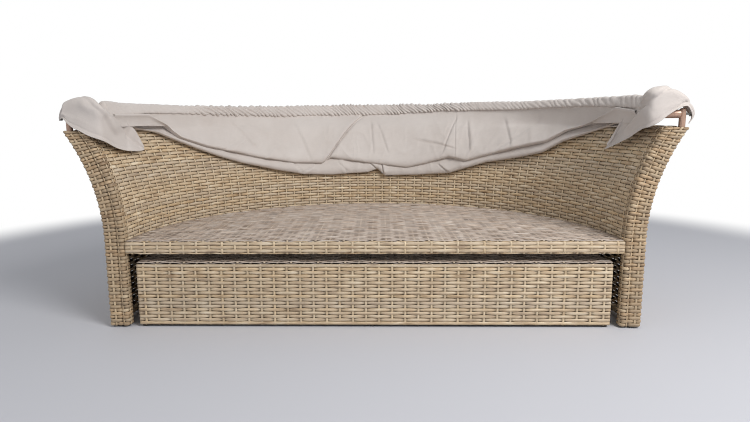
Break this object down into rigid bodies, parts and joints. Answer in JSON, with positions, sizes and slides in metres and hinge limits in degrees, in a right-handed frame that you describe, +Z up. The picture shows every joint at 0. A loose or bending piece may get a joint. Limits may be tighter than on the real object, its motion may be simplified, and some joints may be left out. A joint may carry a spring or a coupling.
{
  "type": "outdoor daybed with canopy",
  "caption": "Half-round woven outdoor daybed with a flared wall, a footstool that slides out from under the seat and a hooped cloth canopy folding back onto the rim.",
  "frame": {"origin": "on the floor, under the middle of the whole daybed's width and depth", "axes": "+X to the sitter's left as seen from the front (the picture's right), +Y towards the back of the wall, +Z up"},
  "size_m": [1.972, 1.017, 0.7545],
  "materials": {
    "wicker": "woven half-round strands, tan mottled",
    "seat_wicker": "woven half-round strands, grey tan",
    "frame_steel": "dark brown powder coat",
    "copper_brown": "copper brown gloss coat",
    "zinc": "zinc plated",
    "cloth": "light taupe woven polyester",
    "glide": "matt dark brown"
  },
  "bodies": {
    "daybed": {"base_ring": "frame_steel", "seat_ring": "frame_steel", "rim_tube": "frame_steel", "front_rail_tube": "frame_steel", "wall_rib_1": "frame_steel", "wall_rib_2": "frame_steel", "wall_rib_3": "frame_steel", "wall_rib_4": "frame_steel", "wall_rib_5": "frame_steel", "wall_rib_6": "frame_steel", "wall_rib_7": "frame_steel", "arm_frame_left": "frame_steel", "arm_frame_right": "frame_steel", "seat_bar_1": "frame_steel", "seat_bar_2": "frame_steel", "seat_bar_3": "frame_steel", "seat_bar_4": "frame_steel", "seat_bar_5": "frame_steel", "outer_wall_weave": "wicker", "inner_back_weave": "wicker", "rim_weave": "wicker", "arm_front_weave_left": "wicker", "arm_front_weave_right": "wicker", "front_rail_weave": "wicker", "seat_weave": "seat_wicker", "wall_glide_1": "glide", "wall_glide_2": "glide", "wall_glide_3": "glide", "wall_glide_4": "glide", "arm_glide_left": "glide", "arm_glide_right": "glide", "canopy_post_left": "copper_brown", "canopy_post_right": "copper_brown", "rear_hoop": "copper_brown", "pivot_bolt_left": "zinc", "pivot_bolt_right": "zinc", "pivot_nut_left": "zinc", "pivot_nut_right": "zinc", "canopy_gore_1": "cloth", "corner_flap_left": "cloth", "corner_flap_right": "cloth"},
    "canopy_second": {"second_hoop": "copper_brown", "canopy_gore_2": "cloth"},
    "canopy_third": {"third_hoop": "copper_brown", "canopy_gore_3": "cloth"},
    "canopy_front": {"front_hoop": "copper_brown"},
    "footstool": {"stool_frame": "frame_steel", "stool_bar_1": "frame_steel", "stool_bar_2": "frame_steel", "stool_bar_3": "frame_steel", "stool_top_weave": "wicker", "stool_front_weave": "wicker", "stool_side_weave": "wicker", "stool_glide_1": "glide", "stool_glide_2": "glide", "stool_glide_3": "glide", "stool_glide_4": "glide", "stool_glide_5": "glide", "stool_glide_6": "glide"}
  },
  "joints": [
    {"name": "footstool_slide", "type": "slide", "parent": "daybed", "child": "footstool", "axis": [0, -1, 0], "range_m": [0, 0.9]},
    {"name": "canopy_open", "type": "hinge", "parent": "daybed", "child": "canopy_second", "pos_m": [0, -0.48186, 0.688], "axis": [1, 0, 0], "range_deg": [0, 36], "deforming": ["canopy_gore_1", "corner_flap_left", "corner_flap_right"]},
    {"name": "canopy_open_third", "type": "hinge", "parent": "canopy_second", "child": "canopy_third", "pos_m": [0, -0.48186, 0.688], "axis": [1, 0, 0], "range_deg": [0, 36], "deforming": ["canopy_gore_2"]},
    {"name": "canopy_open_front", "type": "hinge", "parent": "canopy_third", "child": "canopy_front", "pos_m": [0, -0.48186, 0.688], "axis": [1, 0, 0], "range_deg": [0, 36], "deforming": ["canopy_gore_3"]}
  ],
  "couplings": [
    {"joint": "canopy_open_third", "follows": "canopy_open", "ratio": 1},
    {"joint": "canopy_open_front", "follows": "canopy_open", "ratio": 1}
  ]
}
